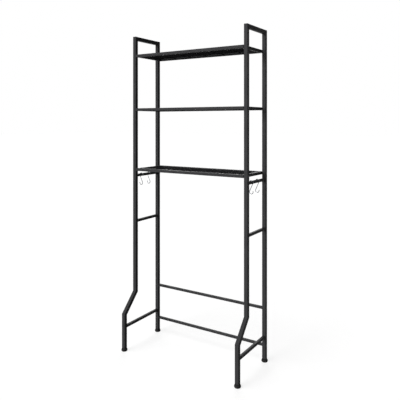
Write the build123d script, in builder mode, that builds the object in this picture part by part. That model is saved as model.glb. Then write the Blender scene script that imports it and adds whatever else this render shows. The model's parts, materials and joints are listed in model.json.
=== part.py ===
"""An over-the-toilet storage rack of square steel tube.

Two side frames carry three wire shelves and two rear stretchers. The front legs step forward
below the middle rail, so the rack stands around a pan and cistern. Each leg ends in a levelling
foot, and S-hooks hang on a rail at either side.

The origin is on the floor under the middle of the footprint. X runs along the shelves, the front
faces -Y and Z points up. Sizes are in millimetres.
"""

import os
from math import asin, cos, degrees, radians, sin

from build123d import *

os.makedirs("parts", exist_ok=True)

# Side frames
frame_height = 1700.0
post_spacing = 687.0
post_depth = 202.0
toe_reach = 92.0
post_side = 20.0
post_wall = 1.0
tube_inner_corner = 0.8
post_split_height = 725.0
jog_top_height = 295.0
jog_bottom_height = 196.0
joiner_length = 100.0
joiner_wall = 1.5
cap_thickness = 2.0
cap_chamfer = 0.6
cap_depth = 18.0
cap_wall = 2.0

# Rails between the posts: the hook rail below the lower shelf, the middle rail below the post split
hook_rail_drop = 33.5
hook_rail_diameter = 16.0
mid_rail_drop = 42.0
low_rail_height = 129.0
side_rail_side = 14.0
upper_stretcher_height = 275.0
lower_stretcher_height = 86.0
stretcher_side = 13.0
stretcher_plug_length = 20.0
stretcher_plug_setback = 4.0
rail_wall = 1.0

# Shelves, by their rim tubes: the upper one below the frame's top, the middle one above the lower
upper_shelf_drop = 107.0
middle_shelf_rise = 329.5
lower_shelf_height = 968.0
rim_side = 15.0
rim_wall = 1.0
saddle_thickness = 2.0
saddle_diameter = 12.0
deck_wire_diameter = 3.0
deck_wire_pitch = 12.0
deck_wire_rise = 3.0
cross_wire_diameter = 4.0
cross_wire_pitch = 105.0

# Bolts and their nuts
bolt_diameter = 6.0
bolt_head_diameter = 11.0
bolt_head_height = 1.6
bolt_head_chamfer = 0.7
bolt_socket_width = 4.0
bolt_socket_depth = 1.1
nut_length = 10.0

# Levelling feet
foot_height = 16.0
foot_diameter = 33.0
foot_base_diameter = 24.0
foot_neck_diameter = 24.0
foot_bulge_height = 6.5
foot_stud_diameter = 8.0
foot_stud_engagement = 28.0
foot_stud_seat_depth = 10.0
insert_flange_thickness = 2.0
insert_depth = 28.0

# S-hooks
hook_wire_diameter = 3.2
hook_drop = 46.0
hook_tip_angle = 20.0
hook_front_setback = 50.0
hook_pitch = 67.0

# Clearances
weld_gap = 0.02
bolt_clearance = 0.3
slip_fit = 0.1
running_fit = 0.05
foot_stop_gap = 0.3
hook_clearance = 0.3

# Places worked out from the driving dimensions
post_half = post_side / 2
rim_half = rim_side / 2
post_x = post_spacing / 2
rear_y = (post_depth + toe_reach) / 2
front_y = rear_y - post_depth
toe_y = front_y - toe_reach
post_top = frame_height - cap_thickness
top_bar_z = frame_height - post_half
leg_bottom = foot_height + insert_flange_thickness
upper_shelf_height = frame_height - upper_shelf_drop
middle_shelf_height = lower_shelf_height + middle_shelf_rise
hook_rail_height = lower_shelf_height - hook_rail_drop
mid_rail_height = post_split_height - mid_rail_drop
rim_inset = post_half + saddle_thickness + rim_half
rim_x = post_x - rim_inset
rim_front_y = front_y - (post_half - rim_half)
rim_rear_y = rear_y + (post_half - rim_half)
bolt_hole_radius = bolt_diameter / 2 + bolt_clearance

sides = {"left": -1, "right": 1}
shelf_heights = {
    "upper_shelf": upper_shelf_height,
    "middle_shelf": middle_shelf_height,
    "lower_shelf": lower_shelf_height,
}
stretcher_heights = {"upper": upper_stretcher_height, "lower": lower_stretcher_height}
post_places = [(sign * post_x, y, -sign) for sign in sides.values() for y in (front_y, rear_y)]
rear_post_places = [place for place in post_places if place[1] == rear_y]
foot_places = {
    f"{side}_{end}": (sign * post_x, y)
    for side, sign in sides.items()
    for end, y in (("front", toe_y), ("rear", rear_y))
}


def write(part, name):
    """Label a finished piece and write it as its own STEP file."""
    part.label = name
    export_step(part, f"parts/{name}.step")


def solid_section(side):
    """A square with rounded corners, in the sketch that is open."""
    RectangleRounded(side, side, tube_inner_corner)


def hollow_section(side, wall):
    """The section of a square tube, in the sketch that is open."""
    RectangleRounded(side, side, tube_inner_corner + wall)
    RectangleRounded(side - 2 * wall, side - 2 * wall, tube_inner_corner, mode=Mode.SUBTRACT)


def plug_side(side, wall):
    """The side of a plug that slips into a square tube."""
    return side - 2 * (wall + slip_fit)


def square_tube(start, end, side, wall, mitres=(), holes=()):
    """A square tube from start to end, along X, Y or Z.

    Each mitre is a plane whose back side is kept. Each hole is a centre on a bolt line along X.
    """
    axis = Vector(end) - Vector(start)
    level = (0, 1, 0) if axis.X else (1, 0, 0)
    with BuildPart() as tube:
        with BuildSketch(Plane(origin=start, x_dir=level, z_dir=axis)):
            hollow_section(side, wall)
        extrude(amount=axis.length)
        for plane in mitres:
            split(bisect_by=plane, keep=Keep.BOTTOM)
        for centre in holes:
            with Locations(centre):
                Cylinder(bolt_hole_radius, 2 * side, rotation=(0, 90, 0), mode=Mode.SUBTRACT)
    return tube.part


def post(x, y):
    """An upper post, drilled for the shelf bolts and open at its head for a cap."""
    holes = [(x, y, z) for z in shelf_heights.values()]
    return square_tube((x, y, post_split_height), (x, y, post_top), post_side, post_wall, holes=holes)


def post_caps():
    """Hollow plugs with a flat head that close the tops of the posts."""
    places = [(x, y) for x, y, inward in post_places]
    plug = plug_side(post_side, post_wall)
    with BuildPart() as group:
        with BuildSketch(Plane.XY.offset(post_top)):
            with Locations(places):
                RectangleRounded(post_side, post_side, tube_inner_corner + post_wall)
        extrude(amount=cap_thickness)
        chamfer(group.edges().group_by(Axis.Z)[-1], cap_chamfer)
        with BuildSketch(Plane.XY.offset(post_top)):
            with Locations(places):
                solid_section(plug)
                Rectangle(plug - 2 * cap_wall, plug - 2 * cap_wall, mode=Mode.SUBTRACT)
        extrude(amount=-cap_depth)
    return group.part


def front_leg(x):
    """A leg of three runs mitred and welded into one, so that it steps forward to the toe line."""
    with BuildPart() as leg:
        with BuildLine() as path:
            Polyline(
                (x, toe_y, leg_bottom),
                (x, toe_y, jog_bottom_height),
                (x, front_y, jog_top_height),
                (x, front_y, post_split_height),
            )
        with BuildSketch(Plane.XY.offset(leg_bottom)):
            with Locations((x, toe_y)):
                hollow_section(post_side, post_wall)
        sweep(path=path.wire(), transition=Transition.RIGHT)
    return leg.part


def rear_leg(x):
    """A straight rear leg, drilled for the stretcher bolts."""
    holes = [(x, rear_y, z) for z in stretcher_heights.values()]
    start = (x, rear_y, leg_bottom)
    end = (x, rear_y, post_split_height)
    return square_tube(start, end, post_side, post_wall, holes=holes)


def side_rail(x, y, z, side, wall):
    """A square rail from the back of the post at y to the front of the rear post."""
    start = (x, y + post_half + weld_gap, z)
    end = (x, rear_y - post_half - weld_gap, z)
    return square_tube(start, end, side, wall)


def hook_rail(x):
    """A round rail between the two posts, for hooks to hang on."""
    front = Plane(origin=(x, front_y + post_half + weld_gap, hook_rail_height), z_dir=(0, 1, 0))
    with BuildPart() as rail:
        with BuildSketch(front):
            Circle(hook_rail_diameter / 2)
            Circle(hook_rail_diameter / 2 - rail_wall, mode=Mode.SUBTRACT)
        extrude(amount=post_depth - 2 * (post_half + weld_gap))
    return rail.part


def stretcher(z):
    """A tube between the rear legs, cut square at both."""
    reach = post_x - post_half - weld_gap
    return square_tube((-reach, rear_y, z), (reach, rear_y, z), stretcher_side, rail_wall)


def long_rim(y, z, outward):
    """A front or rear shelf rim, mitred at both ends. outward is the sign of its side in Y."""
    left = Plane(origin=(-rim_x, y, z), x_dir=(0, 0, 1), z_dir=(-1, -outward, 0))
    right = Plane(origin=(rim_x, y, z), x_dir=(0, 0, 1), z_dir=(1, -outward, 0))
    start = (-rim_x - rim_half, y, z)
    end = (rim_x + rim_half, y, z)
    return square_tube(start, end, rim_side, rim_wall, mitres=[left, right])


def end_rim(x, z, outward):
    """A left or right shelf rim, mitred at both ends. outward is the sign of its side in X."""
    front = Plane(origin=(x, rim_front_y, z), x_dir=(0, 0, 1), z_dir=(-outward, -1, 0))
    rear = Plane(origin=(x, rim_rear_y, z), x_dir=(0, 0, 1), z_dir=(-outward, 1, 0))
    start = (x, rim_front_y - rim_half, z)
    end = (x, rim_rear_y + rim_half, z)
    with BuildPart() as rim:
        add(square_tube(start, end, rim_side, rim_wall, mitres=[front, rear]))
        for y in (front_y, rear_y):
            with Locations((x + outward * rim_half, y, z)):
                Cylinder(bolt_hole_radius, rim_side, rotation=(0, 90, 0), mode=Mode.SUBTRACT)
    return rim.part


def centred_places(span, pitch):
    """Evenly spaced places about 0 that fill a span, nearest to the pitch that is asked for."""
    count = max(1, round(span / pitch) - 1)
    step = span / (count + 1)
    return [step * (i + 1) - span / 2 for i in range(count)]


def wire_deck(z):
    """Long wires from end rim to end rim, on cross wires from front rim to rear rim."""
    middle_y = (rim_front_y + rim_rear_y) / 2
    width = 2 * (rim_x - rim_half - weld_gap)
    depth = rim_rear_y - rim_front_y - 2 * (rim_half + weld_gap)
    long_z = z + deck_wire_rise
    cross_z = long_z - (deck_wire_diameter + cross_wire_diameter) / 2 - weld_gap
    long_places = centred_places(depth, deck_wire_pitch)
    cross_places = centred_places(width, cross_wire_pitch)
    with BuildPart() as deck:
        with Locations([(0, middle_y + place, long_z) for place in long_places]):
            Cylinder(deck_wire_diameter / 2, width, rotation=(0, 90, 0))
        with Locations([(place, middle_y, cross_z) for place in cross_places]):
            Cylinder(cross_wire_diameter / 2, depth, rotation=(90, 0, 0))
    return deck.part


def saddles(z):
    """Four flat spacers between the posts and the end rims."""
    with BuildPart() as group:
        for x, y, inward in post_places:
            start_x = x + inward * (post_half + weld_gap)
            with BuildSketch(Plane(origin=(start_x, y, z), z_dir=(inward, 0, 0))):
                Circle(saddle_diameter / 2)
                Circle(bolt_hole_radius, mode=Mode.SUBTRACT)
            extrude(amount=saddle_thickness - 2 * weld_gap)
    return group.part


def bolts(places, z, reach):
    """Button-head bolts through the posts. Their heads seat on the tube and have a hex socket."""
    wall_height = bolt_head_height - bolt_head_chamfer
    with BuildPart() as group:
        for x, y, inward in places:
            seat_x = x - inward * (post_half + weld_gap)
            seat = Plane(origin=(seat_x, y, z), x_dir=(0, 1, 0), z_dir=(-inward, 0, 0))
            with BuildSketch(seat):
                Circle(bolt_head_diameter / 2)
            extrude(amount=wall_height)
            with BuildSketch(seat.offset(wall_height)):
                Circle(bolt_head_diameter / 2)
            with BuildSketch(seat.offset(bolt_head_height)):
                Circle(bolt_head_diameter / 2 - bolt_head_chamfer)
            loft()
            with BuildSketch(seat.offset(bolt_head_height)):
                RegularPolygon(bolt_socket_width / 2, 6, major_radius=False)
            extrude(amount=-bolt_socket_depth, mode=Mode.SUBTRACT)
            with BuildSketch(seat):
                Circle(bolt_diameter / 2)
            extrude(amount=-(reach + post_half))
    return group.part


def nuts(z):
    """Four cross-drilled nuts inside the end rims, one behind each post."""
    with BuildPart() as group:
        for x, y, inward in post_places:
            middle = (x + inward * rim_inset, y, z)
            with BuildSketch(Plane(origin=middle, x_dir=(1, 0, 0), z_dir=(0, 1, 0))):
                solid_section(plug_side(rim_side, rim_wall))
            extrude(amount=nut_length / 2, both=True)
            with Locations(middle):
                Cylinder(bolt_diameter / 2 + running_fit, rim_side, rotation=(0, 90, 0), mode=Mode.SUBTRACT)
    return group.part


def stretcher_plugs():
    """Threaded plugs inside the ends of both stretchers."""
    with BuildPart() as group:
        for z in stretcher_heights.values():
            for x, y, inward in rear_post_places:
                start_x = x + inward * (post_half + stretcher_plug_setback)
                with BuildSketch(Plane(origin=(start_x, y, z), x_dir=(0, 1, 0), z_dir=(inward, 0, 0))):
                    solid_section(plug_side(stretcher_side, rail_wall))
                    Circle(bolt_diameter / 2 + running_fit, mode=Mode.SUBTRACT)
                extrude(amount=stretcher_plug_length)
    return group.part


def stretcher_bolts():
    """Two bolts through each rear leg, one into each stretcher."""
    reach = post_half + stretcher_plug_setback + stretcher_plug_length / 2
    with BuildPart() as group:
        for z in stretcher_heights.values():
            add(bolts(rear_post_places, z, reach))
    return group.part


def post_joiners():
    """Sleeves inside the posts, half in the upper tube and half in the leg."""
    outer = plug_side(post_side, post_wall)
    with BuildPart() as group:
        with BuildSketch(Plane.XY.offset(post_split_height)):
            with Locations([(x, y) for x, y, inward in post_places]):
                solid_section(outer)
                Rectangle(outer - 2 * joiner_wall, outer - 2 * joiner_wall, mode=Mode.SUBTRACT)
        extrude(amount=joiner_length / 2, both=True)
    return group.part


def leg_inserts():
    """Flanged plugs in the leg ends, threaded for the foot studs."""
    places = list(foot_places.values())
    with BuildPart() as group:
        with BuildSketch(Plane.XY.offset(foot_height)):
            with Locations(places):
                RectangleRounded(post_side, post_side, tube_inner_corner + post_wall)
        extrude(amount=insert_flange_thickness)
        with BuildSketch(Plane.XY.offset(leg_bottom)):
            with Locations(places):
                solid_section(plug_side(post_side, post_wall))
        extrude(amount=insert_depth)
        with BuildSketch(Plane.XY.offset(foot_height)):
            with Locations(places):
                Circle(foot_stud_diameter / 2 + running_fit)
        extrude(amount=insert_flange_thickness + insert_depth, mode=Mode.SUBTRACT)
    return group.part


def foot_pad(x, y):
    """A turned pad with a bulging side, a flat base and a blind seat for its stud."""
    top = foot_height - foot_stop_gap
    seat = top - foot_stud_seat_depth
    with BuildPart() as pad:
        with BuildSketch(Plane(origin=(x, y, 0), x_dir=(1, 0, 0), z_dir=(0, -1, 0))):
            with BuildLine():
                bulge = (foot_diameter / 2, foot_bulge_height)
                TangentArc(bulge, (foot_base_diameter / 2, 0), tangent=(0, -1))
                TangentArc(bulge, (foot_neck_diameter / 2, top), tangent=(0, 1))
                Polyline((foot_neck_diameter / 2, top), (0, top), (0, 0), (foot_base_diameter / 2, 0))
            make_face()
        revolve(axis=Axis((x, y, 0), (0, 0, 1)))
        with BuildSketch(Plane.XY.offset(seat)):
            with Locations((x, y)):
                Circle(foot_stud_diameter / 2 + running_fit)
        extrude(amount=foot_stud_seat_depth, mode=Mode.SUBTRACT)
    return pad.part


def foot_stud(x, y):
    """The threaded rod of a foot, from its seat in the pad up into the leg insert."""
    seat = foot_height - foot_stop_gap - foot_stud_seat_depth
    with BuildPart() as stud:
        with BuildSketch(Plane.XY.offset(seat)):
            with Locations((x, y)):
                Circle(foot_stud_diameter / 2)
        extrude(amount=foot_height + foot_stud_engagement - seat)
    return stud.part


def s_hook(x, y, outward):
    """An S of round wire, alike when turned half round, so that it hangs straight.

    Its upper bow lies round the rail and its lower bow opens outwards. The shank is the line that
    touches both bows.
    """
    bow_radius = (hook_rail_diameter + hook_wire_diameter) / 2 + hook_clearance
    lean = degrees(asin(2 * bow_radius / hook_drop))
    sweep_angle = 180 + hook_tip_angle + lean
    touch = (bow_radius * cos(radians(lean)), -bow_radius * sin(radians(lean)))
    plane = Plane(origin=(x, y, hook_rail_height), x_dir=(outward, 0, 0), z_dir=(0, -outward, 0))
    with BuildPart() as hook:
        with BuildLine(plane) as wire:
            upper = CenterArc((0, 0), bow_radius, 180 + hook_tip_angle, -sweep_angle)
            Line(touch, (-touch[0], -hook_drop - touch[1]))
            lower = CenterArc((0, -hook_drop), bow_radius, 180 - lean, sweep_angle)
        path = wire.wire()
        with BuildSketch(Plane(origin=upper @ 0, z_dir=upper % 0)):
            Circle(hook_wire_diameter / 2)
        sweep(path=path)
        with Locations(upper @ 0, lower @ 1):
            Sphere(hook_wire_diameter / 2)
    return hook.part


# Side frames
for side, sign in sides.items():
    x = sign * post_x
    write(post(x, front_y), f"{side}_front_post")
    write(post(x, rear_y), f"{side}_rear_post")
    write(front_leg(x), f"{side}_front_leg")
    write(rear_leg(x), f"{side}_rear_leg")
    write(side_rail(x, front_y, top_bar_z, post_side, post_wall), f"{side}_top_bar")
    write(side_rail(x, front_y, mid_rail_height, side_rail_side, rail_wall), f"{side}_mid_rail")
    write(side_rail(x, toe_y, low_rail_height, side_rail_side, rail_wall), f"{side}_low_rail")
    write(hook_rail(x), f"{side}_hook_rail")
write(post_caps(), "post_caps")
write(post_joiners(), "post_joiners")

# Rear stretchers
for name, z in stretcher_heights.items():
    write(stretcher(z), f"{name}_rear_stretcher")
write(stretcher_plugs(), "stretcher_plugs")
write(stretcher_bolts(), "stretcher_bolts")

# Shelves
for shelf, z in shelf_heights.items():
    write(long_rim(rim_front_y, z, -1), f"{shelf}_front_rim")
    write(long_rim(rim_rear_y, z, 1), f"{shelf}_rear_rim")
    for side, sign in sides.items():
        write(end_rim(sign * rim_x, z, sign), f"{shelf}_{side}_rim")
    write(wire_deck(z), f"{shelf}_wire_deck")
    write(saddles(z), f"{shelf}_saddles")
    write(nuts(z), f"{shelf}_nuts")
    write(bolts(post_places, z, rim_inset + rim_half - rim_wall - bolt_clearance), f"{shelf}_bolts")

# Levelling feet
write(leg_inserts(), "leg_inserts")
for place, (x, y) in foot_places.items():
    write(foot_pad(x, y), f"{place}_foot_pad")
    write(foot_stud(x, y), f"{place}_foot_stud")

# S-hooks
for side, sign in sides.items():
    for number in (1, 2):
        y = front_y + hook_front_setback + (number - 1) * hook_pitch
        write(s_hook(sign * post_x, y, sign), f"{side}_s_hook_{number}")
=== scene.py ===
"""Looks of the over-the-toilet storage rack: coated tube, welds, wire decks, feet and S-hooks.

Each piece is a surface worked out with numpy as rings of points, in metres, in the frame of the
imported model. The front faces -Y, X runs along the shelves and Z points up.
"""

import json
import math

import bpy
import numpy as np
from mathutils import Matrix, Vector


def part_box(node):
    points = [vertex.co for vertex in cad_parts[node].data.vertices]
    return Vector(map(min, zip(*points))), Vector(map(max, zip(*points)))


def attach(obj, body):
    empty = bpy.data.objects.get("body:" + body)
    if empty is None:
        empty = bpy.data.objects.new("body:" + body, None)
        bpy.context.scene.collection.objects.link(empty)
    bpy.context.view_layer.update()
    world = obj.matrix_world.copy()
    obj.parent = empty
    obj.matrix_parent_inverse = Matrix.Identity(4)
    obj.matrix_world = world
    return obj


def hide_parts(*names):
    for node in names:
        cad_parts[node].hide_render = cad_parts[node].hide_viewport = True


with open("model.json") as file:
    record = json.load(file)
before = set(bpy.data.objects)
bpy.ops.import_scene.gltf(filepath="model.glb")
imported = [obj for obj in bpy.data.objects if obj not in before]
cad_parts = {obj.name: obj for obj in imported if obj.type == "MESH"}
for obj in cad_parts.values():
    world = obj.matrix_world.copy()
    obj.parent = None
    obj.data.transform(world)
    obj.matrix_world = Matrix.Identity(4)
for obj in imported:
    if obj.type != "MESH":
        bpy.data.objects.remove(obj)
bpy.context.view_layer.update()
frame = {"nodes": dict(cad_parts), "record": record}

MM = 0.001
TURN = 2 * math.pi
ALONG_X, ALONG_Y, UP = np.eye(3)

SIDES = {"left": -1, "right": 1}
SHELVES = ("upper_shelf", "middle_shelf", "lower_shelf")
STRETCHERS = ("upper", "lower")

# How finely each form is drawn
CORNER_STEPS = 6
FLAT_EASE = 0.5 * MM
RAIL_SIDES = 48
WIRE_SIDES = 14
NUGGET_SIDES = 8
NUGGET_RINGS = 4
HOOK_SIDES = 24
HEAD_SIDES = 48
FOOT_SIDES = 64
BEAD_STEPS = 160
BEAD_SIDES = 10
EDGE_RINGS = 5
DOME_RINGS = 7
SHARP_ANGLE = math.radians(40)

# An axis whose level part is smaller than this counts as upright
UPRIGHT_SINE = 0.1

# Tubes, the corners of the front legs, and welds
TUBE_CORNER = 1.8 * MM
TUBE_EDGE = 0.8 * MM
JOG_TOP = 295 * MM
JOG_BOTTOM = 196 * MM
CORNER_EASE = 1.2 * MM
RIPPLE_PITCH = 2.4 * MM

# A weld's radius, how deep its middle lies, and its ripple as a share of its radius
RAIL_WELD = (2.1 * MM, 0.0, 0.14)
GROUND_WELD = (0.9 * MM, 0.55 * MM, 0.02)

# Wire decks
DECK_PITCH = 12 * MM
DECK_WIRE = 1.5 * MM
CROSS_PITCH = 105 * MM
CROSS_WIRE = 2.0 * MM
FLARE_LENGTH = 3.0 * MM
FLARE_GROWTH = 1.0 * MM
NUGGET_RADIUS = 2.3 * MM
NUGGET_HALF_HEIGHT = 1.3 * MM
NUGGET_TILT = TURN / 5

# Bolts
HEAD_RADIUS = 5.5 * MM
HEAD_FACE_RADIUS = 3.4 * MM
HEAD_HEIGHT = 1.6 * MM
HEAD_WALL = 0.4 * MM
SOCKET_HALF_WIDTH = 2.0 * MM
SOCKET_DEPTH = 1.1 * MM
BOLT_RADIUS = 3.0 * MM
SADDLE_RADIUS = 6.0 * MM
SADDLE_EDGE = 0.3 * MM
SHELF_BOLT_REACH = 25.7 * MM
STRETCHER_BOLT_REACH = 24 * MM

# Post caps, leg inserts and levelling feet
FLANGE_THICKNESS = 2.0 * MM
FLANGE_EDGE = 0.4 * MM
CAP_EDGE = 0.9 * MM
PLUG_HALF = 8.9 * MM
PLUG_CORNER = 0.8 * MM
FOOT_BASE_RADIUS = 12.0 * MM
FOOT_NECK_RADIUS = 12.0 * MM
FOOT_BULGE_HEIGHT = 6.5 * MM
FOOT_EDGE = 0.8 * MM
FOOT_ARC_RINGS = 16
THREAD_PITCH = 1.25 * MM
THREAD_DEPTH = 0.6 * MM
THREAD_STEPS = 8

# S-hooks
HOOK_CLEARANCE = 0.3 * MM
HOOK_TIP_ANGLE = math.radians(20)
HOOK_RINGS = 40
TIP_TURN = 0.96

# The photograph's frame is 400 pixels square
PHOTO_PIXELS = 400
FOCAL_PIXELS = 494.74
SENSOR_HEIGHT = 36.0
SENSOR_WIDTH = 24.0
CAMERA_PLACE = (1.42517, -2.17431, 1.22886)
CAMERA_YAW = math.radians(32.42)
CAMERA_SHIFT = -0.1947

# The studio's floor and surround
FLOOR_REACH = 40.0
FLOOR_PAINT = "#8c8c8c"
FLOOR_GLOW = 0.76
AMBIENT = 0.03
WHITE = "#ffffff"

# Each soft light's azimuth from the front towards +X, elevation, strength, and breadth in degrees
SOFT_LIGHTS = {
    "front_softbox": (-14, 8, 3.9, 24),
    "overhead_softbox": (-30, 66, 1.8, 36),
    "rear_softbox": (208, 22, 2.4, 50),
}

# A noise pattern lies mostly between these two values
NOISE_SPREAD = {"From Min": 0.3, "From Max": 0.7}


def span(node):
    """Lowest and highest corner of a CAD node, as arrays."""
    low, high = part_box(node)
    return np.array(low), np.array(high)


def middle(node):
    """Middle of a CAD node's box."""
    return sum(span(node)) / 2


def half_size(node):
    """Half the sides of a CAD node's box."""
    low, high = span(node)
    return (high - low) / 2


def unit(vectors):
    """Vectors scaled to length 1."""
    return vectors / np.linalg.norm(vectors, axis=-1, keepdims=True)


def spot(x, y, z):
    """A point as an array."""
    return np.array([x, y, z], float)


def circle(radius, sides):
    """An outline as the middles that its points turn about, their directions, and their radius."""
    angle = np.linspace(0, TURN, sides, endpoint=False)
    return np.zeros((sides, 2)), np.stack((np.cos(angle), np.sin(angle)), axis=-1), radius


def square(half, corner):
    """The outline of a square whose corners are quarter circles.

    One more point on the flat at either side of a corner keeps the shading of the flat even.
    """
    turn = np.linspace(0, TURN / 4, CORNER_STEPS)
    turn = np.concatenate([turn[:1], turn, turn[-1:]])
    ways = np.stack((np.cos(turn), np.sin(turn)), axis=-1)
    middles = np.full(ways.shape, half - corner)
    middles[0, 1] -= FLAT_EASE
    middles[-1, 0] -= FLAT_EASE
    quarter = np.array([[0, 1], [-1, 0]])
    turns = [np.linalg.matrix_power(quarter, count) for count in range(4)]
    return (
        np.concatenate([middles @ turned for turned in turns]),
        np.concatenate([ways @ turned for turned in turns]),
        corner,
    )


POST_HALF = half_size("right_front_post")[0]
RIM_HALF = half_size("upper_shelf_front_rim")[2]
SPLIT_HEIGHT = span("right_front_post")[0][2]
POST_TOP = span("right_front_post")[1][2]
LEG_BOTTOM = span("right_rear_leg")[0][2]
POST_OUTLINE = square(POST_HALF, TUBE_CORNER)
RIM_OUTLINE = square(RIM_HALF, TUBE_CORNER)


def carried(points, tangents, normals, outline, insets=0.0):
    """An outline carried along a path, as an array of rings.

    An outline's point is (a, b) = middle + (radius - inset) * direction, and it lies at
    point + a * normal + b * (tangent x normal). There is one inset for all, or one for each ring,
    or one for each point of each ring.
    """
    middles, ways, radius = outline
    tangents = np.broadcast_to(tangents, points.shape)
    normals = np.broadcast_to(normals, points.shape)[:, None]
    sideways = np.cross(tangents[:, None], normals)
    insets = np.asarray(insets, float)
    insets = insets.reshape(len(points), -1, 1) if insets.ndim else insets
    flat = middles + (radius - insets) * ways
    flat = np.broadcast_to(flat, (len(points), *middles.shape))
    return points[:, None] + flat[..., :1] * normals + flat[..., 1:] * sideways


def across(axis):
    """A unit vector square to an axis: level, or along X where the axis is upright."""
    level = np.cross(UP, axis)
    return unit(level) if np.linalg.norm(level) > UPRIGHT_SINE else ALONG_X


def plane_cut(origin, normal):
    """A cut that slides points along the tube's axis onto a plane."""

    def cut(points, axis):
        """Each point moved along the axis by its distance from the plane."""
        reach = ((origin - points) @ normal) / (axis @ normal)
        return points + reach[..., None] * axis

    return cut


def plain_end(cut=None):
    """An end with no rounding: steps back from the end, insets, and the cut that shapes it."""
    return np.zeros(1), np.zeros(1), cut


def rounded_end(edge=TUBE_EDGE):
    """A quarter round over an end's edge, in the form that plain_end gives.

    One more ring after it keeps the shading of the straight run even.
    """
    turn = np.linspace(0, TURN / 4, EDGE_RINGS)
    steps = np.append(edge * (1 - np.cos(turn)), 2 * edge)
    insets = np.append(edge * (1 - np.sin(turn)), 0)
    return steps, insets, None


def welded_end():
    """A wire's end that flares into its weld: growth falls with the square of the way back."""
    back = np.linspace(0, 1, EDGE_RINGS)
    return FLARE_LENGTH * back, -FLARE_GROWTH * (1 - back) ** 2, None


def straight_rings(start, end, outline, first, last):
    """Rings of a straight bar between two points, with an end form at each."""
    axis = unit(end - start)
    length = np.linalg.norm(end - start)
    first_steps, first_insets, first_cut = first
    last_steps, last_insets, last_cut = last
    along = np.concatenate([first_steps, length - last_steps[::-1]])
    insets = np.concatenate([first_insets, last_insets[::-1]])
    rings = carried(start + along[:, None] * axis, axis, across(axis), outline, insets)
    if first_cut:
        rings[: len(first_steps)] += first_cut(rings[0], -axis) - rings[0]
    if last_cut:
        rings[-len(last_steps) :] += last_cut(rings[-1], axis) - rings[-1]
    return rings


def evenly_spaced(ring, count):
    """Points at equal steps along a closed ring."""
    closed = np.concatenate([ring, ring[:1]])
    steps = np.linalg.norm(np.diff(closed, axis=0), axis=1)
    passed = np.concatenate([[0], np.cumsum(steps)])
    places = np.linspace(0, passed[-1], count, endpoint=False)
    return np.stack([np.interp(places, passed, closed[:, i]) for i in range(3)], axis=-1)


def weld_bead(centre, axis, outline, cut, weld):
    """A rippled bead along the edge where a tube meets what its end is cut to.

    The bead's own radius is bead * (1 + ripple * cos(count * a)), for the way a round the tube.
    """
    bead, sunk, ripple = weld
    ring = carried(centre[None], axis, across(axis), outline, sunk)[0]
    edge = cut(evenly_spaced(ring, BEAD_STEPS), axis)
    onward = np.roll(edge, -1, axis=0)
    heading = unit(onward - np.roll(edge, 1, axis=0))
    way = np.linspace(0, TURN, BEAD_STEPS, endpoint=False)
    count = round(np.linalg.norm(onward - edge, axis=1).sum() / RIPPLE_PITCH)
    insets = -bead * ripple * np.cos(count * way)
    return carried(edge, heading, unit(np.cross(heading, axis)), circle(bead, BEAD_SIDES), insets)


def grid_faces(rows, columns, looped, start):
    """Faces between neighbouring points of a grid of rings, and fans that close its two ends.

    The grid's first point has the number start. A looped grid's last ring joins its first.
    Otherwise the two points after the grid's own are the middles of its end rings.
    """
    row = np.arange(rows if looped else rows - 1)[:, None] * columns
    below = (row + columns) % (rows * columns)
    column = np.arange(columns)[None, :]
    after = (column + 1) % columns
    corners = (row + column, row + after, below + after, below + column)
    quads = start + np.stack(corners, axis=-1).reshape(-1, 4)
    if looped:
        return quads.tolist()
    first, following = start + column[0], start + after[0]
    last = (rows - 1) * columns
    hub = np.full(columns, start + rows * columns)
    start_fan = np.stack((hub, following, first), axis=-1)
    end_fan = np.stack((hub + 1, last + first, last + following), axis=-1)
    return quads.tolist() + start_fan.tolist() + end_fan.tolist()


def add_piece(name, grids, slot, nodes=(), body="rack", looped=(), material=None):
    """A piece made of grids of rings, in its slot's finish or in another material.

    The grids in looped close on themselves like a bead. The piece stands for the nodes it names.
    """
    points = []
    faces = []
    count = 0
    for grid, closed in [(g, False) for g in grids] + [(g, True) for g in looped]:
        rows, columns = grid.shape[:2]
        own = grid.reshape(-1, 3)
        if not closed:
            own = np.concatenate([own, grid[:1].mean(axis=1), grid[-1:].mean(axis=1)])
        faces += grid_faces(rows, columns, closed, count)
        points.append(own)
        count += len(own)
    mesh = bpy.data.meshes.new(name)
    mesh.from_pydata(np.concatenate(points).tolist(), [], faces)
    mesh.polygons.foreach_set("use_smooth", np.ones(len(faces), bool))
    mesh.set_sharp_from_angle(angle=SHARP_ANGLE)
    mesh.materials.append(material or FINISHES[slot])
    piece = bpy.data.objects.new(name, mesh)
    bpy.context.scene.collection.objects.link(piece)
    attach(piece, body)
    if nodes:
        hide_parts(*nodes)


def linear(colour):
    """An sRGB hex colour as linear RGBA."""
    parts = np.array([int(colour[i : i + 2], 16) for i in (1, 3, 5)]) / 255
    light = np.where(parts <= 0.04045, parts / 12.92, ((parts + 0.055) / 1.055) ** 2.4)
    return (*light.tolist(), 1.0)


def per_feature(size):
    """The scale of a pattern whose features are this many metres across."""
    return 1 / size


def add_node(tree, kind, inputs=None, **settings):
    """Add a node, set its properties, and give each named input a value or a link."""
    made = tree.nodes.new("ShaderNode" + kind)
    for name, value in settings.items():
        setattr(made, name, value)
    for name, value in (inputs or {}).items():
        if isinstance(value, bpy.types.NodeSocket):
            tree.links.new(value, made.inputs[name])
        else:
            made.inputs[name].default_value = value
    return made


def new_material(name):
    """An empty material and its node tree."""
    material = bpy.data.materials.new(name)
    material.use_nodes = True
    material.node_tree.nodes.clear()
    return material, material.node_tree


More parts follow.
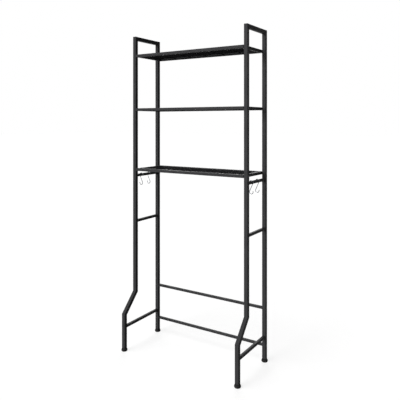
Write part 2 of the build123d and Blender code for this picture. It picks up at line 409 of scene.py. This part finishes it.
def powder_coat(name, thin, thick, gloss_level):
    """Black polyester powder, sprayed on and baked.

    It flows out to a satin skin with a fine orange peel, and with slow patches where the film is
    thicker and glossier. The peel is drawn at 1.6 mm, a little deep, so that it shows. Thin and
    thick are the colours of the film where it is thin and where it is thick.
    """
    material, tree = new_material(name)
    place = add_node(tree, "TexCoord").outputs["Object"]
    patch = add_node(
        tree, "TexNoise", {"Vector": place, "Scale": per_feature(55 * MM), "Detail": 3.0}
    )
    peel = add_node(
        tree, "TexNoise", {"Vector": place, "Scale": per_feature(1.6 * MM), "Detail": 2.0}
    )
    film = patch.outputs["Fac"]
    colour = add_node(
        tree, "MixRGB", {"Fac": film, "Color1": linear(thin), "Color2": linear(thick)}
    )
    gloss = add_node(
        tree, "MapRange", {"Value": film, **NOISE_SPREAD, "To Min": 0.54, "To Max": 0.44}
    )
    bump = add_node(
        tree, "Bump", {"Height": peel.outputs["Fac"], "Strength": 1.0, "Distance": 0.3 * MM}
    )
    shader = add_node(
        tree,
        "BsdfPrincipled",
        {
            "Base Color": colour.outputs["Color"],
            "Roughness": gloss.outputs["Result"],
            "Normal": bump.outputs["Normal"],
            "Specular IOR Level": gloss_level,
        },
    )
    add_node(tree, "OutputMaterial", {"Surface": shader.outputs[0]})
    return material


def moulded_nylon():
    """Black nylon, injection moulded in a spark-eroded tool: an even, fine matt grain.

    The grain is drawn at 0.7 mm, coarser than it is, so that it shows.
    """
    material, tree = new_material("moulded_black_nylon")
    place = add_node(tree, "TexCoord").outputs["Object"]
    grain = add_node(
        tree, "TexNoise", {"Vector": place, "Scale": per_feature(0.7 * MM), "Detail": 2.0}
    )
    grit = grain.outputs["Fac"]
    colour = add_node(
        tree, "MixRGB", {"Fac": grit, "Color1": linear("#1b1b1c"), "Color2": linear("#2a2a2b")}
    )
    bump = add_node(tree, "Bump", {"Height": grit, "Strength": 0.5, "Distance": 0.05 * MM})
    shader = add_node(
        tree,
        "BsdfPrincipled",
        {
            "Base Color": colour.outputs["Color"],
            "Roughness": 0.62,
            "Normal": bump.outputs["Normal"],
            "Specular IOR Level": 0.02,
        },
    )
    add_node(tree, "OutputMaterial", {"Surface": shader.outputs[0]})
    return material


def moulded_rubber():
    """Black rubber, pressed in a hot mould: dull, with a faint bloom and a pitted skin.

    The pits are drawn at 0.9 mm, coarser than they are, so that they show.
    """
    material, tree = new_material("moulded_black_rubber")
    place = add_node(tree, "TexCoord").outputs["Object"]
    bloom = add_node(
        tree, "TexNoise", {"Vector": place, "Scale": per_feature(9 * MM), "Detail": 4.0}
    )
    pits = add_node(tree, "TexVoronoi", {"Vector": place, "Scale": per_feature(0.9 * MM)})
    cloud = bloom.outputs["Fac"]
    colour = add_node(
        tree, "MixRGB", {"Fac": cloud, "Color1": linear("#1a1a1a"), "Color2": linear("#2c2c2c")}
    )
    dull = add_node(
        tree, "MapRange", {"Value": cloud, **NOISE_SPREAD, "To Min": 0.66, "To Max": 0.82}
    )
    bump = add_node(
        tree, "Bump", {"Height": pits.outputs["Distance"], "Strength": 0.4, "Distance": 0.06 * MM}
    )
    shader = add_node(
        tree,
        "BsdfPrincipled",
        {
            "Base Color": colour.outputs["Color"],
            "Roughness": dull.outputs["Result"],
            "Normal": bump.outputs["Normal"],
            "Specular IOR Level": 0.03,
        },
    )
    add_node(tree, "OutputMaterial", {"Surface": shader.outputs[0]})
    return material


def filmed_metal(name, patch, detail, colours, roughness):
    """A metal under a thin film, whose tint and gloss drift over patches of this many metres."""
    material, tree = new_material(name)
    place = add_node(tree, "TexCoord").outputs["Object"]
    noise = add_node(
        tree, "TexNoise", {"Vector": place, "Scale": per_feature(patch), "Detail": detail}
    )
    film = noise.outputs["Fac"]
    first, second = [linear(colour) for colour in colours]
    tint = add_node(tree, "MixRGB", {"Fac": film, "Color1": first, "Color2": second})
    low, high = roughness
    gloss = add_node(
        tree, "MapRange", {"Value": film, **NOISE_SPREAD, "To Min": low, "To Max": high}
    )
    shader = add_node(
        tree,
        "BsdfPrincipled",
        {
            "Base Color": tint.outputs["Color"],
            "Roughness": gloss.outputs["Result"],
            "Metallic": 1.0,
        },
    )
    add_node(tree, "OutputMaterial", {"Surface": shader.outputs[0]})
    return material


def black_oxide():
    """Steel blackened in a hot bath and oiled: near black metal, with a film of uneven gloss."""
    return filmed_metal(
        "oiled_black_oxide_steel", 3 * MM, 3.0, ("#232427", "#3a3a3c"), (0.30, 0.46)
    )


def zinc_plate():
    """Bright zinc on steel, passivated: a pale metal whose clear film tints from blue to straw."""
    return filmed_metal(
        "passivated_zinc_plate", 7 * MM, 2.0, ("#b3bac4", "#c9c6b8"), (0.24, 0.36)
    )


def chrome_wire():
    """Drawn steel wire, polished and chrome plated: a clear mirror with faint smears."""
    return filmed_metal(
        "polished_chrome_wire", 12 * MM, 3.0, ("#54565a", "#686b6f"), (0.07, 0.16)
    )


FINISHES = {
    "powder_coated_steel": powder_coat("satin_black_powder_coat", "#2d2d2e", "#363637", 0.02),
    "black_nylon": moulded_nylon(),
    "black_rubber": moulded_rubber(),
    "black_oxide_bolts": black_oxide(),
    "zinc_plated_steel": zinc_plate(),
    "chrome_wire": chrome_wire(),
}

# On the thin wires of the decks the coat is duller, and its colours are painted darker than the
# tubes' coat: painted shade between and under the wires
SHADED_WIRE_COAT = powder_coat("matt_black_powder_coat_with_painted_shade_on_wire", "#151516", "#1b1b1c", 0.001)


def coated(name, grids, nodes=(), looped=(), material=None):
    """A powder-coated piece of the rack."""
    add_piece(name, grids, "powder_coated_steel", nodes, looped=looped, material=material)


def stepped_leg(route):
    """Rings of a leg along its route, and the ground beads on its mitres. Both ends round over.

    At a corner, the outline of the run before it slides onto the plane that halves the corner. A
    ring shortly before and one shortly after keep the shading of the straight runs even.
    """
    headings = unit(np.diff(route, axis=0))
    steps, insets, _ = rounded_end()
    low = route[0] + steps[:, None] * headings[0]
    high = route[-1] - steps[::-1, None] * headings[-1]
    rings = [carried(low, headings[0], ALONG_X, POST_OUTLINE, insets)]
    beads = []
    for corner, before, after in zip(route[1:], headings, headings[1:]):
        mitre = plane_cut(corner, unit(before + after))
        edge = mitre(carried(corner[None], before, ALONG_X, POST_OUTLINE), before)
        rings += [edge - CORNER_EASE * before, edge, edge + CORNER_EASE * after]
        beads.append(weld_bead(corner, before, POST_OUTLINE, mitre, GROUND_WELD))
    rings.append(carried(high, headings[-1], ALONG_X, POST_OUTLINE, insets[::-1]))
    return np.concatenate(rings), beads


def side_frames():
    """The posts and legs, with ground welds along the mitres of the front legs."""
    end_form = rounded_end()
    for side in SIDES:
        front, rear = middle(f"{side}_front_post"), middle(f"{side}_rear_post")
        x, front_y, rear_y = front[0], front[1], rear[1]
        for end, y in (("front", front_y), ("rear", rear_y)):
            foot, head = spot(x, y, SPLIT_HEIGHT), spot(x, y, POST_TOP)
            rings = straight_rings(foot, head, POST_OUTLINE, end_form, end_form)
            coated(f"coated_{side}_{end}_post", [rings], nodes=[f"{side}_{end}_post"])

        foot, head = spot(x, rear_y, LEG_BOTTOM), spot(x, rear_y, SPLIT_HEIGHT)
        rings = straight_rings(foot, head, POST_OUTLINE, end_form, end_form)
        coated(f"coated_{side}_rear_leg", [rings], nodes=[f"{side}_rear_leg"])

        toe_y = span(f"{side}_front_leg")[0][1] + POST_HALF
        route = np.array(
            [
                spot(x, toe_y, LEG_BOTTOM),
                spot(x, toe_y, JOG_BOTTOM),
                spot(x, front_y, JOG_TOP),
                spot(x, front_y, SPLIT_HEIGHT),
            ]
        )
        rings, beads = stepped_leg(route)
        coated(f"coated_{side}_front_leg", [rings], nodes=[f"{side}_front_leg"])
        coated(f"{side}_leg_welds", [], looped=beads)


def side_rails():
    """The top bar and the hook, middle and low rails, butted to the posts and welded all round."""
    for side in SIDES:
        beads = []
        for rail in ("top_bar", "hook_rail", "mid_rail", "low_rail"):
            node = f"{side}_{rail}"
            half = half_size(node)[2]
            outline = circle(half, RAIL_SIDES) if rail == "hook_rail" else square(half, TUBE_CORNER)
            reach = ALONG_Y * half_size(node)[1]
            front, rear = middle(node) - reach, middle(node) + reach
            rings = straight_rings(front, rear, outline, plain_end(), plain_end())
            coated(f"coated_{node}", [rings], nodes=[node])
            weld = GROUND_WELD if rail == "top_bar" else RAIL_WELD
            for end in (front, rear):
                beads.append(weld_bead(end, ALONG_Y, outline, plane_cut(end, ALONG_Y), weld))
        coated(f"{side}_rail_welds", [], looped=beads)


def rear_stretchers():
    """The two tubes between the rear legs, cut square and held by bolts."""
    for name in STRETCHERS:
        node = f"{name}_rear_stretcher"
        half = half_size(node)
        start, end = middle(node) - ALONG_X * half[0], middle(node) + ALONG_X * half[0]
        rings = straight_rings(start, end, square(half[2], TUBE_CORNER), plain_end(), plain_end())
        coated(f"coated_{node}", [rings], nodes=[node])


def spread(extent, pitch):
    """Evenly spaced places about 0 that fill an extent, nearest to the pitch that is asked for."""
    count = max(1, round(extent / pitch) - 1)
    return extent / (count + 1) * (np.arange(count) - (count - 1) / 2)


def shelf_rims(shelf):
    """The four rims of a shelf, mitred at the corners, with ground welds along the mitres."""
    height = middle(f"{shelf}_front_rim")[2]
    x = middle(f"{shelf}_right_rim")[0]
    front_y, rear_y = middle(f"{shelf}_front_rim")[1], middle(f"{shelf}_rear_rim")[1]
    corners = {
        "front_left": spot(-x, front_y, height),
        "rear_left": spot(-x, rear_y, height),
        "front_right": spot(x, front_y, height),
        "rear_right": spot(x, rear_y, height),
    }
    falling, rising = unit(ALONG_X - ALONG_Y), unit(ALONG_X + ALONG_Y)
    planes = {
        "front_left": falling,
        "rear_left": rising,
        "front_right": rising,
        "rear_right": falling,
    }
    mitres = {name: plane_cut(place, planes[name]) for name, place in corners.items()}
    runs = {
        "front_rim": ("front_left", "front_right"),
        "rear_rim": ("rear_left", "rear_right"),
        "left_rim": ("front_left", "rear_left"),
        "right_rim": ("front_right", "rear_right"),
    }
    for rim, (first, last) in runs.items():
        ends = [plain_end(mitres[name]) for name in (first, last)]
        rings = straight_rings(corners[first], corners[last], RIM_OUTLINE, *ends)
        coated(f"coated_{shelf}_{rim}", [rings], nodes=[f"{shelf}_{rim}"])
    beads = [
        weld_bead(place, ALONG_X, RIM_OUTLINE, mitres[name], GROUND_WELD)
        for name, place in corners.items()
    ]
    coated(f"{shelf}_corner_welds", [], looped=beads)


def welded_wire(start, end, radius):
    """Rings of a wire whose two ends flare into their welds."""
    return straight_rings(start, end, circle(radius, WIRE_SIDES), welded_end(), welded_end())


def weld_nugget(centre):
    """Rings of a flat ball of weld metal, from a cut below its middle to one above.

    At the tilt t its radius is nugget radius * cos(t), and its height is half height * sin(t).
    """
    tilt = np.linspace(-NUGGET_TILT, NUGGET_TILT, NUGGET_RINGS)
    points = centre + UP * (NUGGET_HALF_HEIGHT * np.sin(tilt))[:, None]
    outline = circle(NUGGET_RADIUS, NUGGET_SIDES)
    return carried(points, UP, ALONG_X, outline, NUGGET_RADIUS * (1 - np.cos(tilt)))


def wire_deck(shelf):
    """Long wires from end rim to end rim, on cross wires, with a weld nugget at each crossing."""
    node = f"{shelf}_wire_deck"
    low, high = span(node)
    centre, half = middle(node), half_size(node)
    long_y = centre[1] + spread(2 * half[1], DECK_PITCH)
    cross_x = centre[0] + spread(2 * half[0], CROSS_PITCH)
    long_height, cross_height = high[2] - DECK_WIRE, low[2] + CROSS_WIRE

    start, end = spot(low[0], 0, long_height), spot(high[0], 0, long_height)
    wire = welded_wire(start, end, DECK_WIRE)
    grids = [wire + ALONG_Y * y for y in long_y]

    start, end = spot(0, low[1], cross_height), spot(0, high[1], cross_height)
    wire = welded_wire(start, end, CROSS_WIRE)
    grids += [wire + ALONG_X * x for x in cross_x]

    nugget = weld_nugget(spot(0, 0, long_height - DECK_WIRE))
    grids += [nugget + spot(x, y, 0) for x in cross_x for y in long_y]
    # The deck's wires take the coat whose colours are painted darker, as painted shade
    coated(f"welded_{node}", grids, nodes=[node], material=SHADED_WIRE_COAT)


def bolt_head(seat, outward):
    """A domed button head with a hex socket, seated on a post.

    From the seat its wall rises, its dome is a quarter ellipse to the flat face, and the socket's
    radius at the angle a is half width / cos(a to the nearest flat).
    """
    turn = np.linspace(0, TURN / 4, DOME_RINGS)
    angle = np.linspace(0, TURN, HEAD_SIDES, endpoint=False)
    sixth = TURN / 6
    hexagon = SOCKET_HALF_WIDTH / np.cos((angle + sixth / 2) % sixth - sixth / 2)
    dome_radius = HEAD_FACE_RADIUS + (HEAD_RADIUS - HEAD_FACE_RADIUS) * np.cos(turn)
    dome_height = HEAD_WALL + (HEAD_HEIGHT - HEAD_WALL) * np.sin(turn)
    rounds = np.concatenate([[HEAD_RADIUS], dome_radius])[:, None] * np.ones(HEAD_SIDES)
    radii = np.concatenate([rounds, hexagon[None], hexagon[None]])
    heights = np.concatenate([[0], dome_height, [HEAD_HEIGHT, HEAD_HEIGHT - SOCKET_DEPTH]])
    points = seat + heights[:, None] * outward
    return carried(points, outward, UP, circle(HEAD_RADIUS, HEAD_SIDES), HEAD_RADIUS - radii)


def bolt_set(places, height, reach):
    """Bolts through the posts at one height: heads outside, shanks that reach inwards."""
    grids = []
    for x, y in places:
        outward = ALONG_X * np.sign(x)
        post = spot(x, y, height)
        seat = post + outward * POST_HALF
        grids.append(bolt_head(seat, outward))
        tip, shank = post - outward * reach, circle(BOLT_RADIUS, HOOK_SIDES)
        grids.append(straight_rings(tip, seat, shank, rounded_end(), plain_end()))
    return grids


def bolted_joints():
    """The shelf bolts with their nylon saddles, and the bolts of the rear stretchers."""
    places = [middle(f"{side}_{end}_post")[:2] for side in SIDES for end in ("front", "rear")]
    rear_places = [middle(f"{side}_rear_leg")[:2] for side in SIDES]
    saddle, edge = circle(SADDLE_RADIUS, RAIL_SIDES), rounded_end(SADDLE_EDGE)
    for shelf in SHELVES:
        height = middle(f"{shelf}_front_rim")[2]
        rim_x = middle(f"{shelf}_right_rim")[0]
        bolts = bolt_set(places, height, SHELF_BOLT_REACH)
        saddles = []
        for x, y in places:
            outward = np.sign(x)
            post = spot(x - outward * POST_HALF, y, height)
            rim = spot(outward * (rim_x + RIM_HALF), y, height)
            saddles.append(straight_rings(post, rim, saddle, edge, edge))
        add_piece(f"oiled_{shelf}_bolts", bolts, "black_oxide_bolts", [f"{shelf}_bolts"])
        add_piece(f"moulded_{shelf}_saddles", saddles, "black_nylon", [f"{shelf}_saddles"])
    bolts = []
    for name in STRETCHERS:
        height = middle(f"{name}_rear_stretcher")[2]
        bolts += bolt_set(rear_places, height, STRETCHER_BOLT_REACH)
    add_piece("oiled_stretcher_bolts", bolts, "black_oxide_bolts", ["stretcher_bolts"])


def side_arc(height, bulge, edge_radius, edge_height):
    """Radius at a height on an arc that is upright at the bulge and meets an edge.

    For a step in d and a rise h from bulge to edge, the arc's radius is (d^2 + h^2) / 2d.
    """
    step, rise = bulge - edge_radius, edge_height - FOOT_BULGE_HEIGHT
    arc = (step**2 + rise**2) / (2 * step)
    return bulge - arc + np.sqrt(arc**2 - (height - FOOT_BULGE_HEIGHT) ** 2)


def foot_pad(node):
    """Rings of a turned pad: a flat base with a small chamfer, two arcs and a flat top."""
    place, bulge = middle(node), half_size(node)[0]
    top = span(node)[1][2]
    lower = np.linspace(FOOT_EDGE, FOOT_BULGE_HEIGHT, FOOT_ARC_RINGS)
    upper = np.linspace(FOOT_BULGE_HEIGHT, top - FOOT_EDGE, FOOT_ARC_RINGS)[1:]
    heights = np.concatenate([[0], lower, upper, [top]])
    radii = np.concatenate(
        [
            [FOOT_BASE_RADIUS - FOOT_EDGE / 2],
            side_arc(lower, bulge, FOOT_BASE_RADIUS, 0),
            side_arc(upper, bulge, FOOT_NECK_RADIUS, top),
            [FOOT_NECK_RADIUS - FOOT_EDGE / 2],
        ]
    )
    points = spot(place[0], place[1], 0) + heights[:, None] * UP
    return carried(points, UP, ALONG_X, circle(bulge, FOOT_SIDES), bulge - radii)


def foot_stud(node):
    """Rings of a threaded stud: its radius falls by up to a thread's depth between the crests.

    The depth at a height and angle is a triangle wave of height / pitch - angle / turn.
    """
    (low, high), radius = span(node), half_size(node)[0]
    heights = np.arange(low[2], high[2], THREAD_PITCH / THREAD_STEPS)
    angle = np.linspace(0, 1, HOOK_SIDES, endpoint=False)
    phase = (heights[:, None] / THREAD_PITCH - angle) % 1
    depths = THREAD_DEPTH * np.abs(2 * phase - 1)
    points = spot(*middle(node)[:2], 0) + heights[:, None] * UP
    return carried(points, UP, ALONG_X, circle(radius, HOOK_SIDES), depths)


def levelling_feet():
    """The pads and studs of the four feet."""
    for side in SIDES:
        for end in ("front", "rear"):
            foot = f"{side}_{end}_foot"
            pad, stud = f"{foot}_pad", f"{foot}_stud"
            add_piece(f"moulded_{pad}", [foot_pad(pad)], "black_rubber", [pad], foot)
            add_piece(f"threaded_{stud}", [foot_stud(stud)], "zinc_plated_steel", [stud], foot)


def flanged_plug(outer, inner, edge):
    """Rings of a moulded plug, as a flange from its outer face inwards and a stem behind it."""
    back = outer + FLANGE_THICKNESS * unit(inner - outer)
    rim, stem = rounded_end(FLANGE_EDGE), square(PLUG_HALF, PLUG_CORNER)
    return [
        straight_rings(outer, back, POST_OUTLINE, rounded_end(edge), rim),
        straight_rings(back, inner, stem, plain_end(), rim),
    ]


def tube_plugs():
    """The caps on the posts and the flanged inserts in the leg ends."""
    cap_foot, cap_face = [UP * corner[2] for corner in span("post_caps")]
    insert_face, insert_head = [UP * corner[2] for corner in span("leg_inserts")]
    caps = []
    inserts = []
    for side in SIDES:
        for end in ("front", "rear"):
            post = spot(*middle(f"{side}_{end}_post")[:2], 0)
            caps += flanged_plug(post + cap_face, post + cap_foot, CAP_EDGE)
            leg = spot(*middle(f"{side}_{end}_foot_pad")[:2], 0)
            inserts += flanged_plug(leg + insert_face, leg + insert_head, FLANGE_EDGE)
    add_piece("moulded_post_caps", caps, "black_nylon", ["post_caps"])
    add_piece("moulded_leg_inserts", inserts, "black_nylon", ["leg_inserts"])


def s_hook(node, rail, outward):
    """Rings of an S-hook: a bow round the rail, a straight shank and a bow that opens outwards.

    The shank touches both bows, so it leans by asin(2 * bow radius / drop). The tips are domed.
    """
    low = span(node)[0]
    wire = half_size(node)[1]
    rail_place, rail_radius = middle(rail), half_size(rail)[2]
    bow = rail_radius + wire + HOOK_CLEARANCE
    drop = rail_place[2] - low[2] - bow - wire
    lean = math.asin(2 * bow / drop)
    upper = np.linspace(math.pi + HOOK_TIP_ANGLE, -lean, HOOK_RINGS)[:, None]
    lower = np.linspace(math.pi - lean, TURN + HOOK_TIP_ANGLE, HOOK_RINGS)[:, None]
    forward = ALONG_X * outward
    rail_centre = spot(rail_place[0], middle(node)[1], rail_place[2])
    low_centre = rail_centre - UP * drop
    points = np.concatenate(
        [
            rail_centre + bow * (np.cos(upper) * forward + np.sin(upper) * UP),
            low_centre + bow * (np.cos(lower) * forward + np.sin(lower) * UP),
        ]
    )
    tangents = np.concatenate(
        [
            np.sin(upper) * forward - np.cos(upper) * UP,
            np.cos(lower) * UP - np.sin(lower) * forward,
        ]
    )
    dome = np.linspace(TIP_TURN * TURN / 4, 0, EDGE_RINGS + 1)[:-1, None]
    tip = points[0] - wire * np.sin(dome) * tangents[0]
    tail = points[-1] + wire * np.sin(dome[::-1]) * tangents[-1]
    tip_insets = wire * (1 - np.cos(dome[:, 0]))
    insets = np.concatenate([tip_insets, np.zeros(len(points)), tip_insets[::-1]])
    ones = np.ones((len(dome), 1))
    points = np.concatenate([tip, points, tail])
    tangents = np.concatenate([ones * tangents[0], tangents, ones * tangents[-1]])
    return carried(points, tangents, ALONG_Y, circle(wire, HOOK_SIDES), insets)


def s_hooks():
    """Two chromed S-hooks on each hook rail."""
    for side, outward in SIDES.items():
        for number in (1, 2):
            node = f"{side}_s_hook_{number}"
            rings = s_hook(node, f"{side}_hook_rail", outward)
            add_piece(f"chromed_{node}", [rings], "chrome_wire", [node], node)


def inner_pieces():
    """Give the pieces that stay as they were packed the finish of their slot."""
    slots = {part["node"]: part["material_slot"] for part in frame["record"]["subparts"]}
    for node, piece in frame["nodes"].items():
        piece.data.materials.clear()
        piece.data.materials.append(FINISHES[slots[node]])


def seen_rays(tree):
    """1 for rays from the camera, and for reflected and transmitted views of the background."""
    path = add_node(tree, "LightPath").outputs
    mirrored = add_node(
        tree, "Math", {0: path["Is Camera Ray"], 1: path["Is Glossy Ray"]}, operation="MAXIMUM"
    )
    seen = add_node(
        tree, "Math", {0: mirrored.outputs[0], 1: path["Is Transmission Ray"]}, operation="MAXIMUM"
    )
    return seen.outputs[0]


def studio_floor():
    """A pale matt floor that keeps the shadow, and glows up to white where it is looked at."""
    corners = np.array([[-1, -1, 0], [1, -1, 0], [1, 1, 0], [-1, 1, 0]]) * FLOOR_REACH
    mesh = bpy.data.meshes.new("studio_floor")
    mesh.from_pydata(corners.tolist(), [], [[0, 1, 2, 3]])
    material, tree = new_material("matt_white_floor")
    strength = add_node(tree, "Math", {0: seen_rays(tree), 1: FLOOR_GLOW}, operation="MULTIPLY")
    paint = add_node(tree, "BsdfDiffuse", {"Color": linear(FLOOR_PAINT)})
    glow = add_node(tree, "Emission", {"Color": linear(WHITE), "Strength": strength.outputs[0]})
    both = add_node(tree, "AddShader", {0: paint.outputs[0], 1: glow.outputs[0]})
    add_node(tree, "OutputMaterial", {"Surface": both.outputs[0]})
    mesh.materials.append(material)
    floor = bpy.data.objects.new("studio_floor", mesh)
    bpy.context.scene.collection.objects.link(floor)


def white_surround():
    """A world that is white where it is looked at, and adds only a little light."""
    world = bpy.data.worlds.new("white_surround")
    world.use_nodes = True
    tree = world.node_tree
    tree.nodes.clear()
    level = add_node(
        tree, "MapRange", {"Value": seen_rays(tree), "To Min": AMBIENT, "To Max": 1.0}
    )
    sky = add_node(
        tree, "Background", {"Color": linear(WHITE), "Strength": level.outputs["Result"]}
    )
    add_node(tree, "OutputWorld", {"Surface": sky.outputs[0]})
    bpy.context.scene.world = world


def soft_lights():
    """Broad lights from far away: the front, above and behind."""
    for name, (azimuth, elevation, strength, breadth) in SOFT_LIGHTS.items():
        lamp = bpy.data.lights.new(name, "SUN")
        lamp.energy = strength
        lamp.angle = math.radians(breadth)
        light = bpy.data.objects.new(name, lamp)
        light.rotation_euler = (math.radians(90 - elevation), 0, math.radians(azimuth))
        bpy.context.scene.collection.objects.link(light)


def photo_camera():
    """A level camera with an upright sensor, its frame lowered to take in the whole rack."""
    data = bpy.data.cameras.new("photo_camera")
    data.sensor_fit = "VERTICAL"
    data.sensor_width = SENSOR_WIDTH
    data.sensor_height = SENSOR_HEIGHT
    data.lens = FOCAL_PIXELS / PHOTO_PIXELS * SENSOR_HEIGHT
    data.shift_y = CAMERA_SHIFT
    camera = bpy.data.objects.new("photo_camera", data)
    camera.location = CAMERA_PLACE
    camera.rotation_euler = (math.radians(90), 0, CAMERA_YAW)
    bpy.context.scene.collection.objects.link(camera)
    bpy.context.scene.camera = camera


inner_pieces()
side_frames()
side_rails()
rear_stretchers()
for shelf in SHELVES:
    shelf_rims(shelf)
    wire_deck(shelf)
bolted_joints()
tube_plugs()
levelling_feet()
s_hooks()
studio_floor()
white_surround()
soft_lights()
photo_camera()
bpy.context.scene.view_settings.view_transform = "Standard"
